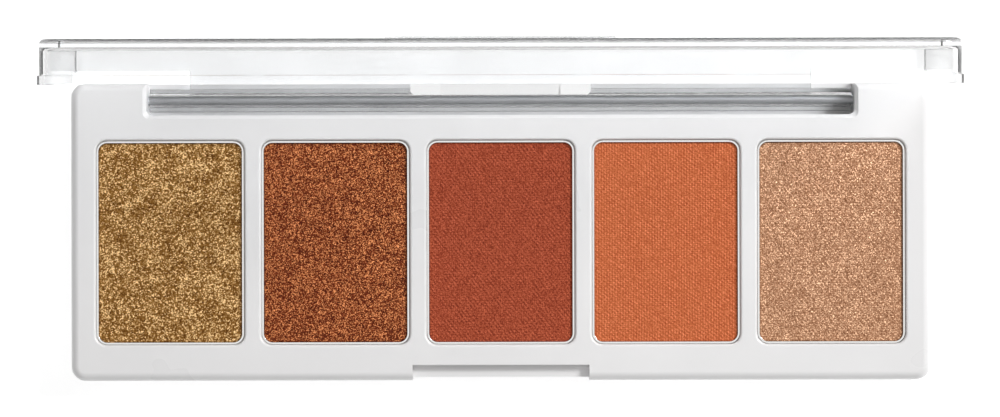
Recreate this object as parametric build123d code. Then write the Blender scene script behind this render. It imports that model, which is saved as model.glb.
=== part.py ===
from build123d import *
import os

# A slim five-pan eyeshadow palette, standing open.
# Millimetres, +X to the right, +Y to the hinge side, +Z up.
# The origin is the centre of the base's underside.
# The lid is drawn closed first, then swung about the hinge to its open stop.

os.makedirs("parts", exist_ok=True)

# Base tray
base_width = 125.0
base_depth = 43.34
base_height = 7.0
corner_radius = 2.1
deck_edge_radius = 0.95
foot_edge_radius = 0.4
side_wall = 1.4
deck_thickness = 1.4

# Wells for the five pans
shade_count = 5
well_pitch = 24.02
well_centre_y = -1.57
well_width = 21.35
well_depth = 29.5
well_radius = 1.5
well_floor_top = 4.3
well_floor_thickness = 1.0
well_wall = 1.0
well_edge_radius = 0.4

# Trough for the lid's hinge barrel, open at the rear
trough_half_width = 51.5
trough_front_y = 16.92
trough_corner_radius = 0.9
trough_wall = 1.2
trough_bevel = 0.5
sill_top = 1.0
stop_rib_top = 1.27
stop_rib_front_y = 19.93

# Thumb notch at the front
notch_half_width = 12.85
notch_deck_y = -19.39
notch_face_y = -21.21
ledge_top = 5.4
ledge_thickness = 1.2
catch_groove_half_width = 8.0
catch_groove_depth = 0.2
catch_groove_bottom = 4.45
catch_groove_top = 4.95

# Bottom plate, sunk into a rebate
plate_thickness = 1.2
rebate_width = 0.5
plate_gap = 0.05
plate_corner_radius = 1.2

# Metal pans and pressed powders
pan_width = 21.25
pan_depth = 29.4
pan_radius = 1.45
pan_wall = 0.2
pan_bottom = 4.4
pan_top = 6.6
powder_top = 6.25
powder_edge_radius = 0.12
glue_radius = 4.0

# Hinge
hinge_y = 19.18
hinge_z = 3.0
barrel_radius = 1.7
barrel_half_length = 51.2
barrel_bore_radius = 0.7
rod_radius = 0.65
rod_half_length = 62.3
rod_press = 0.01
lug_half_width = 45.4
lug_rear_y = 20.88
lug_top = 7.6
open_angle = 87.76

# Lid, sizes given for the closed position
lid_rim_z = 5.7
lid_top_z = 12.0
panel_thickness = 1.2
lid_wall = 1.1
lid_wall_offset = 0.66
lid_rear_y = 21.59
rear_relief_y = 19.6
rear_relief_top = 7.35
lid_corner_radius = 3.0
lid_inner_radius = 1.8
lid_rear_radius = 1.0
lid_top_edge_radius = 0.7
skirt_offset = 1.0
skirt_clearance = 0.1
skirt_top_z = 7.0
skirt_step_z = 7.15
skirt_corner_radius = 3.3
rim_pad_half_width = 16.8
rim_pad_thickness = 0.3
rim_pad_top_z = 8.0
raised_pad_half_width = 16.3
raised_pad_half_depth = 6.0
raised_pad_height = 0.27
raised_pad_radius = 2.0

# Clasp tab on the lid's front rim
tab_half_width = 12.26
tab_bottom_z = 4.28
tab_corner_radius = 0.6
tab_scoop_half_width = 8.15
tab_scoop_depth = 0.22
catch_bead_half_width = 7.4
catch_bead_height = 0.25
catch_bead_bottom = 4.5
catch_bead_top = 4.9

# Extra reach given to a cutter so that it passes right through a face
overrun = 2.0

half_width = base_width / 2
half_depth = base_depth / 2
well_xs = [well_pitch * (i - (shade_count - 1) / 2) for i in range(shade_count)]
hollow_rear_y = trough_front_y - trough_wall


def rounded_block(width, depth, radius, bottom, top, centre_x=0.0, centre_y=0.0):
    outline = RectangleRounded(width, depth, radius)
    placed = Pos(centre_x, centre_y, bottom) * outline
    return extrude(placed, top - bottom)


def plain_block(x_low, x_high, y_low, y_high, z_low, z_high):
    block = Box(x_high - x_low, y_high - y_low, z_high - z_low)
    return Pos((x_low + x_high) / 2, (y_low + y_high) / 2, (z_low + z_high) / 2) * block


def rod_along_x(radius, x_low, x_high, y, z):
    rod = Cylinder(radius, x_high - x_low, rotation=(0, 90, 0))
    return Pos((x_low + x_high) / 2, y, z) * rod


def keep(shape, node):
    shape.label = node
    export_step(shape, "parts/" + node + ".step")


# The outer block of the base, with its deck edge and foot edge rounded
def base_outline():
    block = rounded_block(base_width, base_depth, corner_radius, 0, base_height)
    deck_edges = block.faces().sort_by(Axis.Z)[-1].edges()
    block = fillet(deck_edges, deck_edge_radius)
    foot_edges = block.faces().sort_by(Axis.Z)[0].edges()
    return fillet(foot_edges, foot_edge_radius)


# The space under the deck, less the tub that holds the wells and the ledge's underside
def underside_hollow():
    front_y = side_wall - half_depth
    inside_x = half_width - side_wall
    under_deck = base_height - deck_thickness
    hollow = plain_block(-inside_x, inside_x, front_y, hollow_rear_y, 0, under_deck)
    tub_half_width = well_xs[-1] + well_width / 2 + well_wall
    tub_front_y = well_centre_y - well_depth / 2 - well_wall
    tub_rear_y = well_centre_y + well_depth / 2 + well_wall
    tub_bottom = well_floor_top - well_floor_thickness
    hollow -= plain_block(
        -tub_half_width, tub_half_width, tub_front_y, tub_rear_y, tub_bottom, base_height
    )
    ledge_half_width = notch_half_width + side_wall
    ledge_bottom = ledge_top - ledge_thickness
    hollow -= plain_block(
        -ledge_half_width, ledge_half_width, -half_depth, tub_front_y, ledge_bottom, base_height
    )
    return hollow


# The outline of the bottom plate, or of its rebate when the gap is nought
def plate_block(gap, bottom, top):
    plate_half_width = half_width - side_wall + rebate_width - gap
    plate_front_y = side_wall - half_depth - rebate_width + gap
    plate_rear_y = hollow_rear_y + rebate_width - gap
    return rounded_block(
        2 * plate_half_width,
        plate_rear_y - plate_front_y,
        plate_corner_radius - gap,
        bottom,
        top,
        centre_y=(plate_front_y + plate_rear_y) / 2,
    )


# The trough's cutter: a straight-sided pocket under a bevelled mouth
def trough_cutter():
    rear_y = half_depth + overrun
    depth = rear_y - trough_front_y
    centre_y = (rear_y + trough_front_y) / 2
    pocket = rounded_block(
        2 * trough_half_width,
        depth,
        trough_corner_radius,
        sill_top,
        base_height,
        centre_y=centre_y,
    )
    # the rounded rear corners lie past the base, so the pocket runs straight out of it
    bevel_bottom = base_height - trough_bevel
    mouth = Pos(0, centre_y, bevel_bottom) * RectangleRounded(
        2 * trough_half_width, depth, trough_corner_radius
    )
    bevel = extrude(mouth, 2 * trough_bevel, taper=-45)
    rib = plain_block(
        -trough_half_width, trough_half_width, stop_rib_front_y, rear_y, sill_top, stop_rib_top
    )
    return pocket + bevel - rib


def thumb_notch_cutter():
    front_y = -half_depth - overrun
    above_ledge = plain_block(
        -notch_half_width, notch_half_width, front_y, notch_deck_y, ledge_top, base_height + overrun
    )
    face = plain_block(
        -notch_half_width, notch_half_width, front_y, notch_face_y, -overrun, base_height
    )
    groove = plain_block(
        -catch_groove_half_width,
        catch_groove_half_width,
        front_y,
        notch_face_y + catch_groove_depth,
        catch_groove_bottom,
        catch_groove_top,
    )
    return above_ledge + face + groove


def make_base_tray():
    tray = base_outline()
    for x in well_xs:
        tray -= rounded_block(
            well_width, well_depth, well_radius, well_floor_top, base_height + overrun, x, well_centre_y
        )
    deck = tray.faces().sort_by(Axis.Z)[-1]
    well_edges = ShapeList()
    for wire in deck.inner_wires():
        well_edges += wire.edges()
    tray = fillet(well_edges, well_edge_radius)
    tray -= underside_hollow()
    tray -= plate_block(0, -overrun, plate_thickness)
    tray -= trough_cutter()
    tray -= thumb_notch_cutter()
    return tray - rod_along_x(
        rod_radius - rod_press, -half_width - overrun, half_width + overrun, hinge_y, hinge_z
    )


def make_bottom_plate():
    return plate_block(plate_gap, 0, plate_thickness)


# A pressed pan with a flat floor and thin walls
def make_pan(x):
    pan = rounded_block(pan_width, pan_depth, pan_radius, pan_bottom, pan_top, x, well_centre_y)
    inside = rounded_block(
        pan_width - 2 * pan_wall,
        pan_depth - 2 * pan_wall,
        pan_radius - pan_wall,
        pan_bottom + pan_wall,
        pan_top + overrun,
        x,
        well_centre_y,
    )
    return pan - inside


# The powder cake fills its pan and stops short of the pan's rim
def make_powder(x):
    cake = rounded_block(
        pan_width - 2 * pan_wall,
        pan_depth - 2 * pan_wall,
        pan_radius - pan_wall,
        pan_bottom + pan_wall,
        powder_top,
        x,
        well_centre_y,
    )
    top_edges = cake.faces().sort_by(Axis.Z)[-1].edges()
    return fillet(top_edges, powder_edge_radius)


# A flattened dot of glue between the well's floor and the pan
def make_glue(x):
    height = pan_bottom - well_floor_top
    return Pos(x, well_centre_y, well_floor_top + height / 2) * Cylinder(glue_radius, height)


# A block whose sides and front lie outside the base's outline by an offset
def lid_block(offset, rear_y, front_radius, rear_radius, bottom, top):
    half_x = half_width + offset
    block = plain_block(-half_x, half_x, -half_depth - offset, rear_y, bottom, top)
    block = fillet(block.edges().filter_by(Axis.Z).group_by(Axis.Y)[0], front_radius)
    return fillet(block.edges().filter_by(Axis.Z).group_by(Axis.Y)[-1], rear_radius)


# Clear shell of the lid: panel, four walls, and a wider skirt that laps the base's front and sides
def make_lid_shell():
    shell = lid_block(
        lid_wall_offset, lid_rear_y, lid_corner_radius, lid_rear_radius, lid_rim_z, lid_top_z
    )
    shell = fillet(shell.faces().sort_by(Axis.Z)[-1].edges(), lid_top_edge_radius)
    shell += lid_block(
        skirt_offset, lid_rear_y, skirt_corner_radius, lid_rear_radius, lid_rim_z, skirt_top_z
    )
    shell -= lid_block(
        lid_wall_offset - lid_wall,
        lid_rear_y - lid_wall,
        lid_inner_radius,
        lid_inner_radius,
        lid_rim_z - overrun,
        lid_top_z - panel_thickness,
    )
    shell -= lid_block(
        skirt_clearance,
        half_depth + skirt_clearance,
        corner_radius + skirt_clearance,
        corner_radius + skirt_clearance,
        lid_rim_z - overrun,
        skirt_step_z,
    )
    # at the rear the wall stops above the deck, so that it swings past the base's rear edge
    relief_half_width = half_width + skirt_offset + overrun
    return shell - plain_block(
        -relief_half_width,
        relief_half_width,
        rear_relief_y,
        half_depth + overrun,
        lid_rim_z - overrun,
        rear_relief_top,
    )


# The clasp tab hangs from the front rim, with a shallow finger scoop outside and a bead inside
def make_clasp():
    outer_y = -half_depth - skirt_offset
    inner_y = -half_depth - skirt_clearance
    tab = plain_block(
        -tab_half_width, tab_half_width, outer_y, inner_y, tab_bottom_z, lid_rim_z
    )
    low_corners = tab.edges().filter_by(Axis.Y).group_by(Axis.Z)[0]
    tab = fillet(low_corners, tab_corner_radius)
    tab -= plain_block(
        -tab_scoop_half_width,
        tab_scoop_half_width,
        outer_y,
        outer_y + tab_scoop_depth,
        tab_bottom_z,
        lid_rim_z,
    )
    tab += plain_block(
        -catch_bead_half_width,
        catch_bead_half_width,
        inner_y,
        inner_y + catch_bead_height,
        catch_bead_bottom,
        catch_bead_top,
    )
    inner_wall_y = -half_depth - lid_wall_offset + lid_wall
    rim_pad = plain_block(
        -rim_pad_half_width,
        rim_pad_half_width,
        inner_wall_y,
        inner_wall_y + rim_pad_thickness,
        skirt_step_z,
        rim_pad_top_z,
    )
    return tab + rim_pad


# The hinge barrel and the lug that joins it to the lid's rear wall
def make_hinge_side():
    barrel = rod_along_x(barrel_radius, -barrel_half_length, barrel_half_length, hinge_y, hinge_z)
    lug = plain_block(-lug_half_width, lug_half_width, hinge_y, lug_rear_y, hinge_z, lug_top)
    bridge = plain_block(
        -lug_half_width, lug_half_width, hinge_y, lid_rear_y, lid_rim_z, lug_top
    )
    return barrel + lug + bridge


def make_closed_lid():
    raised_pad = rounded_block(
        2 * raised_pad_half_width,
        2 * raised_pad_half_depth,
        raised_pad_radius,
        lid_top_z,
        lid_top_z + raised_pad_height,
    )
    lid = make_lid_shell() + make_clasp() + make_hinge_side() + raised_pad
    return lid - rod_along_x(barrel_bore_radius, -half_width, half_width, hinge_y, hinge_z)


# Swinging the closed lid back about the hinge line opens it
def make_lid():
    hinge_line = Axis((0, hinge_y, hinge_z), (1, 0, 0))
    return make_closed_lid().rotate(hinge_line, -open_angle)


# A steel rod through the lid's barrel, its ends pressed into the base
def make_hinge_rod():
    return rod_along_x(rod_radius, -rod_half_length, rod_half_length, hinge_y, hinge_z)


keep(make_base_tray(), "base_tray")
keep(make_bottom_plate(), "bottom_plate")
for number, x in enumerate(well_xs, start=1):
    keep(make_pan(x), "pan_" + str(number))
    keep(make_powder(x), "powder_" + str(number))
    keep(make_glue(x), "glue_dot_" + str(number))
keep(make_lid(), "lid")
keep(make_hinge_rod(), "hinge_rod")
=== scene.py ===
import math

import bmesh
import bpy
from mathutils import Matrix, Vector, noise


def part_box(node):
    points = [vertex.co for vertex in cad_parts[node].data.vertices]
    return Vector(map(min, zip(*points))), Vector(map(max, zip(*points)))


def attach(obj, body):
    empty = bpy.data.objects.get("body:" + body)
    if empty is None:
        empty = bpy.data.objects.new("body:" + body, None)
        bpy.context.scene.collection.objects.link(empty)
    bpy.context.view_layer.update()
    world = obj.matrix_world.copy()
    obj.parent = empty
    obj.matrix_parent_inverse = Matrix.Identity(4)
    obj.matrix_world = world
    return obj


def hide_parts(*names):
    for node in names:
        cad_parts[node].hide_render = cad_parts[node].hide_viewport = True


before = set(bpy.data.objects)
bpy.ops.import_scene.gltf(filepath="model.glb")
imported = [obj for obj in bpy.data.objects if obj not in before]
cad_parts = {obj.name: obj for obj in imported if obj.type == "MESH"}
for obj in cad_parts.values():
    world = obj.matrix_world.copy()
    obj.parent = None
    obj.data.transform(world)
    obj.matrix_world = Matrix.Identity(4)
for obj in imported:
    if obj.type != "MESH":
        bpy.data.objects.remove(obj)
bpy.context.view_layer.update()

mm = 0.001
overrun = 2  # cutters reach this far past what they cut
sink = 0.2  # joined blocks start this far inside each other


# pieces are drawn in millimetres and scaled to metres by finishPiece
def cadBox(node):
    low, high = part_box(node)
    return Vector(low) / mm, Vector(high) / mm


def uprightEdges(bm):
    return [e for e in bm.edges if abs(e.verts[0].co.z - e.verts[1].co.z) > 1e-4]


def edgesAtHeight(bm, z):
    return [e for e in bm.edges if all(abs(v.co.z - z) < 1e-4 for v in e.verts)]


def roundEdges(bm, edges, radius, segments):
    bmesh.ops.bevel(
        bm,
        geom=edges,
        offset=radius,
        offset_type="OFFSET",
        segments=segments,
        profile=0.5,
        affect="EDGES",
        material=-1,
        clamp_overlap=True,
    )


# a box with rounded upright corners and, if asked, a rounded top and bottom edge
def roundedBlock(low, high, corner=0, top=0, bottom=0, cornerSegments=8, edgeSegments=4):
    low, high = Vector(low), Vector(high)
    bm = bmesh.new()
    place = Matrix.Translation((low + high) / 2) @ Matrix.Diagonal((*(high - low), 1))
    bmesh.ops.create_cube(bm, size=1, matrix=place)
    if corner:
        roundEdges(bm, uprightEdges(bm), corner, cornerSegments)
    if top:
        roundEdges(bm, edgesAtHeight(bm, high.z), top, edgeSegments)
    if bottom:
        roundEdges(bm, edgesAtHeight(bm, low.z), bottom, edgeSegments)
    return bm


# a round bar along X
def roundBar(radius, xLow, xHigh, y, z, segments=48):
    bm = bmesh.new()
    turn = Matrix.Rotation(math.radians(90), 4, "Y")
    place = Matrix.Translation(((xLow + xHigh) / 2, y, z)) @ turn
    bmesh.ops.create_cone(
        bm,
        cap_ends=True,
        segments=segments,
        radius1=radius,
        radius2=radius,
        depth=xHigh - xLow,
        matrix=place,
    )
    return bm


def meshObject(bm, name):
    mesh = bpy.data.meshes.new(name)
    bm.to_mesh(mesh)
    bm.free()
    obj = bpy.data.objects.new(name, mesh)
    bpy.context.scene.collection.objects.link(obj)
    return obj


# joins or cuts solids one after another and gives back one bmesh
def combine(bm, steps):
    body = meshObject(bm, "work")
    tools = []
    for operation, toolMesh in steps:
        tool = meshObject(toolMesh, "tool")
        tools.append(tool)
        step = body.modifiers.new("step", "BOOLEAN")
        step.operation = operation
        step.solver = "EXACT"
        step.object = tool
    graph = bpy.context.evaluated_depsgraph_get()
    result = bmesh.new()
    result.from_mesh(bpy.data.meshes.new_from_object(body.evaluated_get(graph)))
    for obj in [body, *tools]:
        bpy.data.meshes.remove(obj.data)
    bmesh.ops.remove_doubles(result, verts=result.verts, dist=1e-4)
    bmesh.ops.dissolve_limit(
        result, angle_limit=math.radians(0.5), verts=result.verts, edges=result.edges
    )
    return result


# scales a finished bmesh to metres and hands it to the frame
def finishPiece(bm, name, body, material, replaced=(), sharpAngle=40):
    bmesh.ops.scale(bm, vec=(mm, mm, mm), verts=bm.verts)
    for face in bm.faces:
        face.smooth = True
    for edge in bm.edges:
        if len(edge.link_faces) == 2:
            edge.smooth = edge.calc_face_angle(0) < math.radians(sharpAngle)
    obj = meshObject(bm, name)
    obj.data.materials.append(material)
    weighted = obj.modifiers.new("flat faces stay flat", "WEIGHTED_NORMAL")
    weighted.keep_sharp = True
    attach(obj, body)
    if replaced:
        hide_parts(*replaced)
    return obj


def hexColour(code):
    channels = [int(code[i : i + 2], 16) / 255 for i in (1, 3, 5)]
    linear = [c / 12.92 if c <= 0.04045 else ((c + 0.055) / 1.055) ** 2.4 for c in channels]
    return (*linear, 1)


# adds one node, sets its options, then its sockets by name or number
def addNode(tree, kind, options=None, **sockets):
    node = tree.nodes.new("ShaderNode" + kind)
    for key, value in (options or {}).items():
        setattr(node, key, value)
    for key, value in sockets.items():
        name = key.replace("_", " ")
        target = node.inputs[int(name[1:])] if name[1:].isdigit() else node.inputs[name]
        if isinstance(value, bpy.types.NodeSocket):
            tree.links.new(value, target)
        else:
            target.default_value = value
    return node


def newMaterial(name):
    material = bpy.data.materials.new(name)
    material.use_nodes = True
    tree = material.node_tree
    tree.nodes.clear()
    output = tree.nodes.new("ShaderNodeOutputMaterial")
    return material, tree, output


def ramp(tree, factor, stops):
    node = addNode(tree, "ValToRGB", Fac=factor)
    elements = node.color_ramp.elements
    while len(elements) < len(stops):
        elements.new(0.5)
    for element, (position, code) in zip(elements, stops):
        element.position = position
        element.color = hexColour(code)
    return node.outputs["Color"]


# high-impact polystyrene, injection moulded in a lightly polished tool: soft gloss, faint flow
def mouldedWhite():
    material, tree, output = newMaterial("white_moulded_polystyrene")
    place = addNode(tree, "TexCoord").outputs["Object"]
    # flow marks of about 17 mm
    flow = addNode(tree, "TexNoise", Vector=place, Scale=1 / (17 * mm), Detail=3, Roughness=0.5)
    tone = ramp(tree, flow.outputs["Fac"], [(0.3, "#E3E2E2"), (0.7, "#E7E6E6")])
    # tool texture of about 0.25 mm
    grain = addNode(tree, "TexNoise", Vector=place, Scale=1 / (0.25 * mm), Detail=2)
    gloss = addNode(
        tree,
        "MapRange",
        Value=flow.outputs["Fac"],
        From_Min=0.3,
        From_Max=0.7,
        To_Min=0.26,
        To_Max=0.36,
    )
    bump = addNode(
        tree, "Bump", Height=grain.outputs["Fac"], Strength=0.05, Distance=0.02 * mm
    )
    plastic = addNode(
        tree,
        "BsdfPrincipled",
        Base_Color=tone,
        Roughness=gloss.outputs["Result"],
        IOR=1.55,
        Normal=bump.outputs["Normal"],
    )
    tree.links.new(plastic.outputs["BSDF"], output.inputs["Surface"])
    return material


# general-purpose polystyrene, moulded in a mirror-polished tool: water clear, glossy
def clearPolystyrene():
    material, tree, output = newMaterial("clear_moulded_polystyrene")
    place = addNode(tree, "TexCoord").outputs["Object"]
    flow = addNode(tree, "TexNoise", Vector=place, Scale=1 / (11 * mm), Detail=2)
    # light loses a little at each surface it crosses, so long ways round the edges look grey
    tint = ramp(tree, flow.outputs["Fac"], [(0.3, "#F1F1F1"), (0.7, "#F3F3F3")])
    clear = addNode(tree, "BsdfGlass", Color=tint, Roughness=0.0, IOR=1.57)
    # lamps shine through the lid with little loss
    lampPath = addNode(tree, "BsdfTransparent", Color=hexColour("#F2F3F4"))
    isShadow = addNode(tree, "LightPath").outputs["Is Shadow Ray"]
    mix = addNode(tree, "MixShader", i0=isShadow, i1=clear.outputs[0], i2=lampPath.outputs[0])
    tree.links.new(mix.outputs[0], output.inputs["Surface"])
    return material


# the same plastic where the mould was spark textured: frosted, so it looks white
def texturedPolystyrene():
    material, tree, output = newMaterial("spark_textured_clear_polystyrene")
    place = addNode(tree, "TexCoord").outputs["Object"]
    # texture of about 0.15 mm
    pits = addNode(tree, "TexNoise", Vector=place, Scale=1 / (0.15 * mm), Detail=2)
    tone = ramp(tree, pits.outputs["Fac"], [(0.3, "#F6F7F7"), (0.7, "#FEFEFE")])
    bump = addNode(
        tree, "Bump", Height=pits.outputs["Fac"], Strength=0.2, Distance=0.02 * mm
    )
    frost = addNode(
        tree,
        "BsdfPrincipled",
        Base_Color=tone,
        Roughness=0.55,
        IOR=1.57,
        Transmission_Weight=0.1,
        Normal=bump.outputs["Normal"],
    )
    tree.links.new(frost.outputs["BSDF"], output.inputs["Surface"])
    return material


# thin aluminium, deep drawn: bright metal with drawing lines down the walls
# the lines are drawn coarser than real ones, 0.15 mm, to show
def drawnAluminium():
    material, tree, output = newMaterial("drawn_aluminium")
    place = addNode(tree, "TexCoord").outputs["Object"]
    stretched = addNode(tree, "Mapping", Vector=place, Scale=(1, 1, 0.05))
    lines = addNode(
        tree, "TexNoise", Vector=stretched.outputs["Vector"], Scale=1 / (0.15 * mm), Detail=3
    )
    gloss = addNode(
        tree,
        "MapRange",
        Value=lines.outputs["Fac"],
        From_Min=0.3,
        From_Max=0.7,
        To_Min=0.14,
        To_Max=0.24,
    )
    tone = ramp(tree, lines.outputs["Fac"], [(0.3, "#F4F3F0"), (0.7, "#FBFAF8")])
    metal = addNode(
        tree, "BsdfPrincipled", Base_Color=tone, Metallic=1.0, Roughness=gloss.outputs["Result"]
    )
    tree.links.new(metal.outputs["BSDF"], output.inputs["Surface"])
    return material


# stainless wire, drawn through a die: fine straight lines along the pin
# the lines are drawn coarser than real ones, 0.06 mm, to show
def drawnSteel():
    material, tree, output = newMaterial("drawn_steel_wire")
    place = addNode(tree, "TexCoord").outputs["Object"]
    stretched = addNode(tree, "Mapping", Vector=place, Scale=(0.004, 1, 1))
    lines = addNode(
        tree, "TexNoise", Vector=stretched.outputs["Vector"], Scale=1 / (0.06 * mm), Detail=2
    )
    gloss = addNode(
        tree,
        "MapRange",
        Value=lines.outputs["Fac"],
        From_Min=0.3,
        From_Max=0.7,
        To_Min=0.42,
        To_Max=0.46,
    )
    tone = ramp(tree, lines.outputs["Fac"], [(0.3, "#C2C3C6"), (0.7, "#CACBCE")])
    metal = addNode(
        tree, "BsdfPrincipled", Base_Color=tone, Metallic=1.0, Roughness=gloss.outputs["Result"]
    )
    tree.links.new(metal.outputs["BSDF"], output.inputs["Surface"])
    return material


# hot-melt glue, set: cloudy, waxy, with small bubbles
def setGlue():
    material, tree, output = newMaterial("set_hot_melt_glue")
    place = addNode(tree, "TexCoord").outputs["Object"]
    # bubbles and cloudy patches of about 2.5 mm
    cloud = addNode(tree, "TexNoise", Vector=place, Scale=1 / (2.5 * mm), Detail=3)
    tone = ramp(tree, cloud.outputs["Fac"], [(0.35, "#D8D2BE"), (0.65, "#EEEAD9")])
    wax = addNode(
        tree,
        "BsdfPrincipled",
        Base_Color=tone,
        Roughness=0.35,
        Subsurface_Weight=0.3,
        Subsurface_Scale=0.5 * mm,
    )
    tree.links.new(wax.outputs["BSDF"], output.inputs["Surface"])
    return material


# height of the print a plain weave leaves: threads each way, and the checks where they cross
def clothPrint(tree, place, cloth):
    wander = addNode(
        tree, "TexNoise", {"normalize": False}, Vector=place, Scale=1 / (3 * mm), Detail=1
    )
    wandering = addNode(
        tree, "VectorMath", {"operation": "SCALE"}, i0=wander.outputs["Color"], Scale=0.05 * mm
    )
    moved = addNode(tree, "VectorMath", {"operation": "ADD"}, i0=place, i1=wandering.outputs[0])
    acrossThreads = 2 * math.pi / (cloth["pitchX"] * mm)
    alongThreads = 2 * math.pi / (cloth["pitchY"] * mm)
    waves = [
        (cloth["threadX"], (acrossThreads, 0, 0)),
        (cloth["threadY"], (0, alongThreads, 0)),
        (cloth["check"], (acrossThreads / 2, alongThreads / 2, 0)),
    ]
    height = 0.0
    for share, direction in waves:
        phase = addNode(
            tree, "VectorMath", {"operation": "DOT_PRODUCT"}, i0=moved.outputs[0], i1=direction
        )
        wave = addNode(tree, "Math", {"operation": "SINE"}, i0=phase.outputs["Value"])
        height = addNode(
            tree,
            "Math",
            {"operation": "MULTIPLY_ADD"},
            i0=wave.outputs[0],
            i1=share,
            i2=height,
        ).outputs[0]
    # the cloth pressed harder in some patches
    patches = addNode(tree, "TexNoise", Vector=place, Scale=1 / (1.6 * mm), Detail=2)
    depth = addNode(
        tree,
        "MapRange",
        Value=patches.outputs["Fac"],
        From_Min=0.35,
        From_Max=0.65,
        To_Min=cloth["least"],
        To_Max=1.0,
    )
    return addNode(
        tree, "Math", {"operation": "MULTIPLY"}, i0=height, i1=depth.outputs["Result"]
    ).outputs[0]


# pressed powder with flakes of coated mica: each lies at its own tilt, and its glint is painted
# into the colour as a bright or dark flake
# the flakes are drawn coarser than the real 0.1 mm, to show
def glitterPowder(name, look):
    material, tree, output = newMaterial(name)
    place = addNode(tree, "TexCoord").outputs["Object"]
    shift = addNode(tree, "Mapping", Vector=place, Location=look["shift"])
    spot = shift.outputs["Vector"]
    flakes = addNode(
        tree,
        "TexVoronoi",
        {"feature": "SMOOTH_F1"},
        Vector=spot,
        Scale=1 / (look["flake"] * mm),
        Smoothness=look["smooth"],
    )
    tilt = addNode(tree, "SeparateColor", Color=flakes.outputs["Color"])
    dust = addNode(tree, "TexNoise", Vector=spot, Scale=1 / (look["dust"] * mm), Detail=2)
    clumps = addNode(tree, "TexNoise", Vector=spot, Scale=1 / (look["clump"] * mm), Detail=2)
    # painted glint: each flake's random value sets how bright its colour is, on top of the
    # tilted normal
    flakeGlintShare = addNode(
        tree, "Math", {"operation": "MULTIPLY"}, i0=tilt.outputs["Red"], i1=look["flakeGlintShare"]
    )
    dustShare = addNode(
        tree,
        "Math",
        {"operation": "MULTIPLY_ADD"},
        i0=dust.outputs["Fac"],
        i1=look["dustShare"],
        i2=flakeGlintShare.outputs[0],
    )
    allShare = addNode(
        tree,
        "Math",
        {"operation": "MULTIPLY_ADD"},
        i0=clumps.outputs["Fac"],
        i1=look["clumpShare"],
        i2=dustShare.outputs[0],
    )
    toneGlintAndPrintShade = allShare.outputs[0]
    # painted shade: the weave print's hollows come out darker in the colour
    if "cloth" in look:
        printed = clothPrint(tree, place, look["cloth"])
        toneGlintAndPrintShade = addNode(
            tree, "Math", {"operation": "ADD"}, i0=toneGlintAndPrintShade, i1=printed
        ).outputs[0]
    tone = ramp(tree, toneGlintAndPrintShade, look["stops"])
    facing = addNode(tree, "NewGeometry").outputs["Normal"]
    centred = addNode(
        tree,
        "VectorMath",
        {"operation": "SUBTRACT"},
        i0=flakes.outputs["Color"],
        i1=(0.5, 0.5, 0.5),
    )
    leaning = addNode(
        tree, "VectorMath", {"operation": "SCALE"}, i0=centred.outputs[0], Scale=look["tilt"]
    )
    added = addNode(
        tree, "VectorMath", {"operation": "ADD"}, i0=facing, i1=leaning.outputs[0]
    )
    normal = addNode(tree, "VectorMath", {"operation": "NORMALIZE"}, i0=added.outputs[0])
    bump = addNode(
        tree,
        "Bump",
        Height=dust.outputs["Fac"],
        Strength=0.5,
        Distance=0.04 * mm,
        Normal=normal.outputs[0],
    )
    powder = addNode(
        tree,
        "BsdfPrincipled",
        Base_Color=tone,
        Metallic=look["metallic"],
        Roughness=look["roughness"],
        Specular_IOR_Level=0.25,
        Normal=bump.outputs["Normal"],
    )
    tree.links.new(powder.outputs["BSDF"], output.inputs["Surface"])
    return material


# matte pressed powder: the pressing cloth leaves the print of its weave in the cake, and the
# print's hollows are also painted darker in the colour as painted shade
def clothPrintPowder(name, look):
    material, tree, output = newMaterial(name)
    place = addNode(tree, "TexCoord").outputs["Object"]
    printed = clothPrint(tree, place, look["cloth"])
    grain = addNode(tree, "TexNoise", Vector=place, Scale=1 / (look["grain"] * mm), Detail=2)
    grainAndPrintShade = addNode(
        tree,
        "Math",
        {"operation": "MULTIPLY_ADD"},
        i0=grain.outputs["Fac"],
        i1=look["grainShare"],
        i2=printed,
    )
    # painted shade: the colour follows the print's depth as well as the powder's own grain
    tone = ramp(tree, grainAndPrintShade.outputs[0], look["stops"])
    bump = addNode(
        tree, "Bump", Height=grainAndPrintShade.outputs[0], Strength=0.4, Distance=0.03 * mm
    )
    powder = addNode(
        tree,
        "BsdfPrincipled",
        Base_Color=tone,
        Roughness=0.85,
        Sheen_Weight=0.1,
        Sheen_Roughness=0.5,
        Specular_IOR_Level=0.2,
        Normal=bump.outputs["Normal"],
    )
    tree.links.new(powder.outputs["BSDF"], output.inputs["Surface"])
    return material


tray = {
    "corner": 2.1,
    "deckEdge": 1.25,
    "footEdge": 0.4,
    "wall": 1.4,
    "wellGap": 0.13,  # each side of a pan
    "wellFloor": 4.3,
    "wellRadius": 1.5,
    "wellEdge": 0.4,
    "troughHalf": 51.5,
    "troughFront": 16.92,
    "troughCorner": 0.9,
    "troughBevel": 0.5,
    "troughWall": 1.2,
    "sill": 1.0,
    "stopTop": 1.27,
    "stopFront": 19.93,
    "notchHalf": 12.85,
    "notchBack": -19.39,
    "notchFace": -21.21,
    "ledge": 5.4,
    "grooveHalf": 8.0,
    "grooveDepth": 0.2,
    "grooveLow": 4.45,
    "grooveHigh": 4.95,
    "boreRadius": 0.66,
    "hingeY": 19.18,
    "hingeZ": 3.0,
    "ribSetBack": 0.05,
    "floorThick": 1.0,
    "plateGap": 0.05,
    "rebateCorner": 1.2,
}


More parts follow.
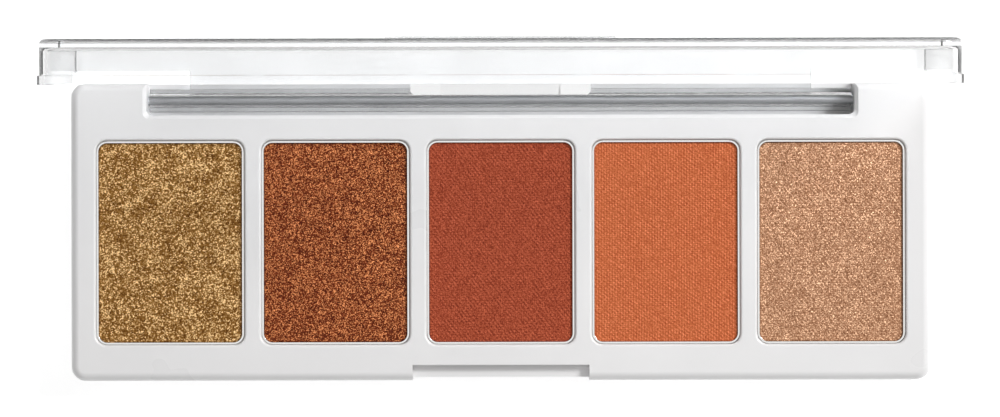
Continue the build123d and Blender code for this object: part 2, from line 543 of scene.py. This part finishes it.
def makeTray(material):
    low, high = cadBox("base_tray")
    panBoxes = [cadBox(f"pan_{i}") for i in range(1, 6)]
    outer = roundedBlock(low, high, tray["corner"], tray["deckEdge"], tray["footEdge"], 10, 6)
    over = high.z + overrun
    steps = []
    wellGap = Vector((tray["wellGap"], tray["wellGap"], 0))
    for panLow, panHigh in panBoxes:
        wellLow = panLow - wellGap
        wellHigh = panHigh + wellGap
        wellLow.z, wellHigh.z = tray["wellFloor"], over
        steps.append(("DIFFERENCE", roundedBlock(wellLow, wellHigh, tray["wellRadius"])))
    half, front = tray["troughHalf"], tray["troughFront"]
    rear = high.y + overrun
    trough = roundedBlock((-half, front, tray["sill"]), (half, rear, over), tray["troughCorner"])
    steps.append(("DIFFERENCE", trough))
    bm = combine(outer, steps)

    # the rims of the wells are rounded, and the mouth of the trough is bevelled
    def onDeck(edge):
        return all(abs(v.co.z - high.z) < 1e-3 for v in edge.verts)

    def isRim(edge):
        if len(edge.link_faces) != 2 or not onDeck(edge):
            return False
        return sorted(abs(f.normal.z) > 0.5 for f in edge.link_faces) == [False, True]

    bm.normal_update()
    rims = [e for e in bm.edges if isRim(e)]
    reach = tray["wellRadius"] - panBoxes[0][0].y
    wells = [e for e in rims if abs(e.verts[0].co.y) < reach and e.verts[0].co.y < front - sink]
    roundEdges(bm, wells, tray["wellEdge"], 4)

    bevel = tray["troughBevel"]
    mouth = roundedBlock(
        (-half, front, high.z - bevel), (half, rear, high.z), tray["troughCorner"]
    )
    widened = edgesAtHeight(mouth, high.z)
    grown = {v for e in widened for v in e.verts}
    centre = Vector((0, (front + rear) / 2, 0))
    for v in grown:
        v.co.x += math.copysign(bevel, v.co.x)
        v.co.y += math.copysign(bevel, v.co.y - centre.y)
    lift = [f for f in mouth.faces if f.normal.z > 0.9]
    top = bmesh.ops.extrude_face_region(mouth, geom=lift)["geom"]
    bmesh.ops.delete(mouth, geom=lift, context="FACES_ONLY")
    raised = [v for v in top if isinstance(v, bmesh.types.BMVert)]
    bmesh.ops.translate(mouth, vec=(0, 0, overrun), verts=raised)
    stopRib = roundedBlock(
        (-half - sink, tray["stopFront"], tray["sill"] - sink),
        (half + sink, high.y - tray["ribSetBack"], tray["stopTop"]),
    )
    frontY = low.y - overrun
    notchHalf = tray["notchHalf"]
    notch = roundedBlock(
        (-notchHalf, frontY, tray["ledge"]), (notchHalf, tray["notchBack"], over)
    )
    face = roundedBlock((-notchHalf, frontY, -overrun), (notchHalf, tray["notchFace"], over))
    groove = roundedBlock(
        (-tray["grooveHalf"], frontY, tray["grooveLow"]),
        (tray["grooveHalf"], tray["notchFace"] + tray["grooveDepth"], tray["grooveHigh"]),
    )
    inside = low.x + tray["wall"]
    hollowRear = front - tray["troughWall"]
    plateLow, plateHigh = cadBox("bottom_plate")
    hollowTop = tray["wellFloor"] - tray["floorThick"]
    hollow = roundedBlock(
        (inside, low.y + tray["wall"], -overrun), (-inside, hollowRear, hollowTop)
    )
    plateGap = tray["plateGap"]
    rebate = roundedBlock(
        (plateLow.x - plateGap, plateLow.y - plateGap, -overrun),
        (plateHigh.x + plateGap, plateHigh.y + plateGap, plateHigh.z),
        tray["rebateCorner"],
    )
    boreLow, boreHigh = low.x - overrun, high.x + overrun
    bore = roundBar(tray["boreRadius"], boreLow, boreHigh, tray["hingeY"], tray["hingeZ"])
    bm = combine(
        bm,
        [
            ("DIFFERENCE", mouth),
            ("UNION", stopRib),
            ("DIFFERENCE", notch),
            ("DIFFERENCE", face),
            ("DIFFERENCE", groove),
            ("DIFFERENCE", hollow),
            ("DIFFERENCE", rebate),
            ("DIFFERENCE", bore),
        ],
    )
    finishPiece(bm, "tray", "base", material, ["base_tray"], 35)


plate = {"corner": 1.15, "top": 0.1, "bottom": 0.25}


def makeBottomPlate(material):
    low, high = cadBox("bottom_plate")
    bm = roundedBlock(low, high, plate["corner"], plate["top"], plate["bottom"], 6, 3)
    finishPiece(bm, "bottom_closing_plate", "base", material, ["bottom_plate"])


pan = {"radius": 1.53, "wall": 0.28, "foot": 0.35, "rim": 0.025, "lip": 0.08}


def makePan(number, material):
    low, high = cadBox(f"pan_{number}")
    lip = Vector((pan["lip"], pan["lip"], 0))
    bm = roundedBlock(low - lip, high + lip, pan["radius"], 0, pan["foot"], 8, 4)
    bm.normal_update()
    cover = [f for f in bm.faces if f.normal.z > 0.9]
    bmesh.ops.delete(bm, geom=cover, context="FACES")
    bmesh.ops.solidify(bm, geom=bm.faces[:], thickness=pan["wall"])
    roundEdges(bm, edgesAtHeight(bm, high.z), pan["rim"], 3)
    finishPiece(
        bm, f"pressed_pan_{number}", "base", material, [f"pan_{number}"]
    )


cake = {"corner": 1.25, "edge": 0.28, "step": 0.3, "uneven": 0.035, "patch": 6.0, "foot": 0.5}


# the cake's face is a fine grid pulled into round corners, slightly uneven from the press
def makePowder(number, material):
    low, high = cadBox(f"powder_{number}")
    size = high - low
    centre = (low + high) / 2
    across = int(size.x / cake["step"] / 2) * 2
    along = int(size.y / cake["step"] / 2) * 2
    bm = bmesh.new()
    place = Matrix.Translation((centre.x, centre.y, high.z)) @ Matrix.Diagonal(
        (size.x / 2, size.y / 2, 1, 1)
    )
    bmesh.ops.create_grid(bm, x_segments=across, y_segments=along, size=1, matrix=place)
    corner = cake["corner"]
    inner = Vector((size.x / 2 - corner, size.y / 2 - corner))
    for v in bm.verts:
        fromCentre = v.co - centre
        u = abs(fromCentre.x) - inner.x
        w = abs(fromCentre.y) - inner.y
        if u > 0 and w > 0:
            pull = max(u, w) / math.hypot(u, w)
            v.co.x = centre.x + math.copysign(inner.x + u * pull, fromCentre.x)
            v.co.y = centre.y + math.copysign(inner.y + w * pull, fromCentre.y)
    rim = [e for e in bm.edges if e.is_boundary]
    down = bmesh.ops.extrude_edge_only(bm, edges=rim)["geom"]
    lowered = [v for v in down if isinstance(v, bmesh.types.BMVert)]
    bmesh.ops.translate(bm, vec=(0, 0, low.z - high.z), verts=lowered)
    foot = [e for e in bm.edges if e.is_boundary]
    bmesh.ops.contextual_create(bm, geom=foot)
    bmesh.ops.recalc_face_normals(bm, faces=bm.faces)
    roundEdges(bm, rim, cake["edge"], 3)
    for v in bm.verts:
        if v.co.z > low.z + cake["foot"]:
            # whole steps keep the cakes from sharing one pattern
            patch = v.co / cake["patch"] + Vector((number * 7.0, 0, 0))
            v.co.z -= cake["uneven"] * (0.5 + 0.5 * noise.noise(patch))
    finishPiece(bm, f"pressed_powder_{number}", "base", material, [f"powder_{number}"], 60)


shades = [
    {
        "slot": "powder_gold_glitter",
        "name": "gold_mica_pressed_powder",
        "kind": "glitter",
        "flake": 0.17,
        "smooth": 0.2,
        "dust": 0.17,
        "clump": 2.2,
        "flakeGlintShare": 0.55,
        "dustShare": 0.55,
        "clumpShare": 0.35,
        "tilt": 0.5,
        "metallic": 0.35,
        "roughness": 0.45,
        "shift": (0.1, 0.2, 0),
        "stops": [(0.35, "#522800"), (0.6, "#84561C"), (0.78, "#9A6E34"), (0.98, "#F6CC90")],
    },
    {
        "slot": "powder_copper_glitter",
        "name": "copper_mica_pressed_powder",
        "kind": "glitter",
        "flake": 0.12,
        "smooth": 0.15,
        "dust": 0.12,
        "clump": 1.6,
        "flakeGlintShare": 0.6,
        "dustShare": 0.6,
        "clumpShare": 0.2,
        "tilt": 0.5,
        "metallic": 0.35,
        "roughness": 0.45,
        "shift": (0.3, 0.1, 0),
        "stops": [(0.3, "#2C0400"), (0.58, "#621E00"), (0.75, "#7E3006"), (0.95, "#E08E56")],
    },
    {
        "slot": "powder_brick_matte",
        "name": "brick_matte_pressed_powder",
        "kind": "cloth",
        "cloth": {
            "pitchX": 0.31,
            "pitchY": 0.383,
            "threadX": 0.05,
            "threadY": 0.05,
            "check": 0.1,
            "least": 0.3,
        },
        "grain": 0.17,
        "grainShare": 1.25,
        "stops": [(0.32, "#66200E"), (0.62, "#984026"), (0.92, "#CC6846")],
    },
    {
        "slot": "powder_orange_matte",
        "name": "orange_matte_pressed_powder",
        "kind": "cloth",
        "cloth": {
            "pitchX": 0.388,
            "pitchY": 0.29,
            "threadX": 0.1,
            "threadY": 0.05,
            "check": 0.09,
            "least": 0.4,
        },
        "grain": 0.18,
        "grainShare": 0.8,
        "stops": [(0.08, "#8C300E"), (0.4, "#BE6238"), (0.72, "#F69668")],
    },
    {
        "slot": "powder_champagne_shimmer",
        "name": "champagne_mica_pressed_powder",
        "kind": "glitter",
        "cloth": {
            "pitchX": 0.31,
            "pitchY": 0.372,
            "threadX": 0.02,
            "threadY": 0.05,
            "check": 0.07,
            "least": 0.5,
        },
        "flake": 0.12,
        "smooth": 0.2,
        "dust": 0.15,
        "clump": 1.8,
        "flakeGlintShare": 0.5,
        "dustShare": 0.6,
        "clumpShare": 0.2,
        "tilt": 0.4,
        "metallic": 0.3,
        "roughness": 0.42,
        "shift": (0.5, 0.3, 0),
        "stops": [(0.3, "#7E4E30"), (0.58, "#AA7856"), (0.75, "#BA8A6A"), (0.95, "#FFCEA6")],
    },
]


lid = {
    "rimZ": 5.7,
    "topZ": 12.0,
    "panel": 1.2,
    "wall": 1.1,
    "wallOut": 0.66,
    "rearY": 21.59,
    "reliefY": 19.6,
    "reliefTop": 7.35,
    "corner": 3.0,
    "innerCorner": 1.8,
    "rearCorner": 0.75,
    "topEdge": 0.75,
    "innerEdge": 0.5,
    "skirtOut": 1.0,
    "skirtClear": 0.1,
    "skirtTop": 7.0,
    "skirtStep": 7.15,
    "pocketCorner": 2.2,
    "pocketRear": 0.1,
    "skirtCorner": 3.3,
    "skirtEdge": 0.05,
    "barrel": 1.7,
    "barrelHalf": 51.2,
    "bore": 0.7,
    "lugHalf": 45.4,
    "lugRear": 20.88,
    "lugTop": 7.6,
    "bridgeShy": 0.01,  # keeps it off the plane of the rear wall
    "padHalf": 16.3,
    "padHalfDepth": 6.0,
    "padHigh": 0.27,
    "padCorner": 2.0,
    "padEdge": 0.12,
    "rimPadHalf": 16.8,
    "rimPad": 0.3,
    "rimPadTop": 8.0,
    "openAngle": 87.76,
}

clasp = {
    "half": 12.26,
    "setBack": 0.03,
    "bottom": 4.28,
    "corner": 0.6,
    "scoopHalf": 8.15,
    "scoopPast": 1.0,
    "scoop": 0.5,  # its depth that far past the free edge, less at the edge itself
    "scoopRoot": 0.08,
    "beadHalf": 7.4,
    "bead": 0.25,
    "beadLow": 4.5,
    "beadHigh": 4.9,
}


# the shell is drawn closed, over the tray, and swung back about the hinge line at the end
def makeLid(material, textured):
    low, high = cadBox("base_tray")
    halfX, halfY = high.x, high.y
    rim, top = lid["rimZ"], lid["topZ"]
    hingeY, hingeZ = tray["hingeY"], tray["hingeZ"]

    def offsetBlock(offset, rear, z0, z1, *rounding):
        x = halfX + offset
        return roundedBlock((-x, -halfY - offset, z0), (x, rear, z1), *rounding)

    # round corners at the front, tighter ones beside the hinge
    def outerBlock(offset, z1, corner, topEdge, bottomEdge, segments):
        bm = offsetBlock(offset, lid["rearY"], rim, z1)
        upright = uprightEdges(bm)
        rearward = [e for e in upright if e.verts[0].co.y > 0]
        frontward = [e for e in upright if e.verts[0].co.y < 0]
        roundEdges(bm, rearward, lid["rearCorner"], 8)
        roundEdges(bm, frontward, corner, 10)
        roundEdges(bm, edgesAtHeight(bm, z1), topEdge, segments)
        if bottomEdge:
            roundEdges(bm, edgesAtHeight(bm, rim), bottomEdge, segments)
        return bm

    rear = lid["rearY"]
    edge = lid["skirtEdge"]
    shell = outerBlock(lid["wallOut"], top, lid["corner"], lid["topEdge"], 0, 5)
    skirt = outerBlock(lid["skirtOut"], lid["skirtTop"], lid["skirtCorner"], edge, edge, 3)
    cavity = offsetBlock(
        lid["wallOut"] - lid["wall"],
        rear - lid["wall"],
        rim - overrun,
        top - lid["panel"],
        lid["innerCorner"],
        lid["innerEdge"],
        0,
        8,
        4,
    )
    pocket = offsetBlock(
        lid["skirtClear"],
        halfY + lid["pocketRear"],
        rim - overrun,
        lid["skirtStep"],
        lid["pocketCorner"],
    )
    relief = roundedBlock(
        (-halfX - overrun, lid["reliefY"], rim - overrun),
        (halfX + overrun, halfY + overrun, lid["reliefTop"]),
    )
    barrel = roundBar(lid["barrel"], -lid["barrelHalf"], lid["barrelHalf"], hingeY, hingeZ, 64)
    lug = roundedBlock(
        (-lid["lugHalf"], hingeY, hingeZ), (lid["lugHalf"], lid["lugRear"], lid["lugTop"])
    )
    bridge = roundedBlock(
        (-lid["lugHalf"], hingeY, rim), (lid["lugHalf"], rear - lid["bridgeShy"], lid["lugTop"])
    )
    outerY = -halfY - lid["skirtOut"]
    innerY = -halfY - lid["skirtClear"]
    tabFace = outerY + clasp["setBack"]
    tab = roundedBlock(
        (-clasp["half"], tabFace, clasp["bottom"]), (clasp["half"], innerY, rim + sink)
    )
    lowCorners = [
        e
        for e in tab.edges
        if all(abs(v.co.z - clasp["bottom"]) < 1e-4 for v in e.verts)
        and abs(e.verts[0].co.x - e.verts[1].co.x) < 1e-4
    ]
    roundEdges(tab, lowCorners, clasp["corner"], 5)
    bead = roundedBlock(
        (-clasp["beadHalf"], innerY - sink, clasp["beadLow"]),
        (clasp["beadHalf"], innerY + clasp["bead"], clasp["beadHigh"]),
    )
    scoop = roundedBlock(
        (-clasp["scoopHalf"], outerY - overrun, clasp["bottom"] - clasp["scoopPast"]),
        (clasp["scoopHalf"], outerY + clasp["scoop"], rim),
    )
    for v in scoop.verts:
        if v.co.y > outerY and v.co.z > clasp["bottom"]:
            v.co.y = outerY + clasp["scoopRoot"]
    innerWall = -halfY - lid["wallOut"] + lid["wall"]
    rimPad = roundedBlock(
        (-lid["rimPadHalf"], innerWall - sink, lid["skirtStep"]),
        (lid["rimPadHalf"], innerWall + lid["rimPad"], lid["rimPadTop"]),
    )
    pad = roundedBlock(
        (-lid["padHalf"], -lid["padHalfDepth"], top - sink),
        (lid["padHalf"], lid["padHalfDepth"], top + lid["padHigh"]),
        lid["padCorner"],
        lid["padEdge"],
        0,
        6,
        3,
    )
    bore = roundBar(lid["bore"], -halfX, halfX, hingeY, hingeZ, 48)
    steps = [
        ("UNION", skirt),
        ("DIFFERENCE", cavity),
        ("DIFFERENCE", pocket),
        ("DIFFERENCE", relief),
        ("UNION", lug),
        ("UNION", bridge),
        ("UNION", barrel),
        ("UNION", tab),
        ("UNION", bead),
        ("UNION", rimPad),
        ("UNION", pad),
        ("DIFFERENCE", scoop),
        ("DIFFERENCE", bore),
    ]
    bm = combine(shell, steps)
    # the finger tab's outer face has a fine spark texture from the mould
    bm.normal_update()
    for face in bm.faces:
        middle = face.calc_center_median()
        onTab = abs(middle.x) < clasp["half"] and middle.z < rim + sink
        face.material_index = int(onTab and face.normal.y < -0.9 and middle.y < innerY - sink)
    swing = Matrix.Rotation(math.radians(-lid["openAngle"]), 4, "X")
    hinge = Vector((0, hingeY, hingeZ))
    bmesh.ops.rotate(bm, cent=hinge, matrix=swing.to_3x3(), verts=bm.verts)
    lidShell = finishPiece(bm, "clear_lid", "lid", material, ["lid"], 35)
    lidShell.data.materials.append(textured)


rod = {"endEdge": 0.12}


def makeRod(material):
    low, high = cadBox("hinge_rod")
    radius = (high.z - low.z) / 2
    bm = roundBar(radius, low.x, high.x, tray["hingeY"], tray["hingeZ"], 48)
    ends = [e for e in bm.edges if abs(e.verts[0].co.x - e.verts[1].co.x) < 1e-4]
    roundEdges(bm, ends, rod["endEdge"], 3)
    finishPiece(bm, "steel_hinge_rod", "base", material, ["hinge_rod"])


sheet = {"half": 4, "drop": 0.05, "glow": 0.52}  # half in metres


def makeFloor():
    bm = bmesh.new()
    # a hair below the tray, so that the two faces don't coincide
    place = Matrix.Translation((0, 0, -sheet["drop"] * mm))
    bmesh.ops.create_grid(bm, x_segments=1, y_segments=1, size=sheet["half"], matrix=place)
    floor = meshObject(bm, "floor")
    material, tree, output = newMaterial("white_acrylic_sheet")
    spot = addNode(tree, "TexCoord").outputs["Object"]
    cloud = addNode(tree, "TexNoise", Vector=spot, Scale=1 / (330 * mm), Detail=2)
    tone = ramp(tree, cloud.outputs["Fac"], [(0.3, "#FAFAFA"), (0.7, "#FBFBFB")])
    acrylic = addNode(
        tree,
        "BsdfPrincipled",
        Base_Color=tone,
        Roughness=0.9,
        Specular_IOR_Level=0.1,
        Emission_Color=hexColour("#FFFFFF"),
        Emission_Strength=sheet["glow"],
    )
    tree.links.new(acrylic.outputs["BSDF"], output.inputs["Surface"])
    floor.data.materials.append(material)


def areaLight(name, place, target, size, power):
    data = bpy.data.lights.new(name, "AREA")
    data.shape = "RECTANGLE"
    data.size, data.size_y = size
    data.energy = power
    light = bpy.data.objects.new(name, data)
    light.location = place
    aim = Vector(target) - Vector(place)
    light.rotation_euler = aim.to_track_quat("-Z", "Y").to_euler()
    bpy.context.scene.collection.objects.link(light)


studio = {
    "overhead": 0.9,
    "horizon": 0.17,
    "fall": 3.0,
    "keyPower": 3.2,
    "keyPlace": (0.42, 0.25, 0.44),
    "keySize": (0.16, 0.16),
}


def lightStudio():
    world = bpy.data.worlds.new("soft_white_studio")
    world.use_nodes = True
    tree = world.node_tree
    # white overhead, darker towards the walls of the room
    direction = addNode(tree, "TexCoord").outputs["Generated"]
    height = addNode(tree, "SeparateXYZ", Vector=direction).outputs["Z"]
    above = addNode(tree, "Math", {"operation": "MAXIMUM"}, i0=height, i1=0.0)
    dome = addNode(tree, "Math", {"operation": "POWER"}, i0=above.outputs[0], i1=studio["fall"])
    level = addNode(
        tree,
        "Math",
        {"operation": "MULTIPLY_ADD"},
        i0=dome.outputs[0],
        i1=studio["overhead"] - studio["horizon"],
        i2=studio["horizon"],
    )
    tree.links.new(level.outputs[0], tree.nodes["Background"].inputs["Strength"])
    tree.nodes["Background"].inputs["Color"].default_value = (1, 1, 1, 1)
    bpy.context.scene.world = world
    areaLight("key", studio["keyPlace"], (0, 0, 0), studio["keySize"], studio["keyPower"])
    scene = bpy.context.scene
    scene.view_settings.view_transform = "Standard"
    # light runs a long way inside the clear walls before it comes out
    scene.cycles.max_bounces = 40
    scene.cycles.transmission_bounces = 40
    scene.cycles.glossy_bounces = 40


shot = {"x": -0.1, "y": 3.32, "z": 607.0, "lens": 148.7, "roll": -0.12}


def placeCamera():
    data = bpy.data.cameras.new("camera")
    data.sensor_width = 36
    data.lens = shot["lens"]
    data.clip_start = 0.01
    camera = bpy.data.objects.new("camera", data)
    camera.location = (shot["x"] * mm, shot["y"] * mm, shot["z"] * mm)
    camera.rotation_euler = (0, 0, math.radians(shot["roll"]))
    bpy.context.scene.collection.objects.link(camera)
    bpy.context.scene.camera = camera


whitePlastic = mouldedWhite()
aluminium = drawnAluminium()
steel = drawnSteel()
glue = setGlue()
makeTray(whitePlastic)
makeBottomPlate(whitePlastic)
print("tray done")
for number, shade in enumerate(shades, start=1):
    makePan(number, aluminium)
    maker = glitterPowder if shade["kind"] == "glitter" else clothPrintPowder
    makePowder(number, maker(shade["name"], shade))
    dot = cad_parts[f"glue_dot_{number}"]
    dot.material_slots[0].material = glue
print("pans and powders done")
makeLid(clearPolystyrene(), texturedPolystyrene())
makeRod(steel)
print("lid and hinge rod done")
makeFloor()
lightStudio()
placeCamera()
print("floor, lights and camera done")
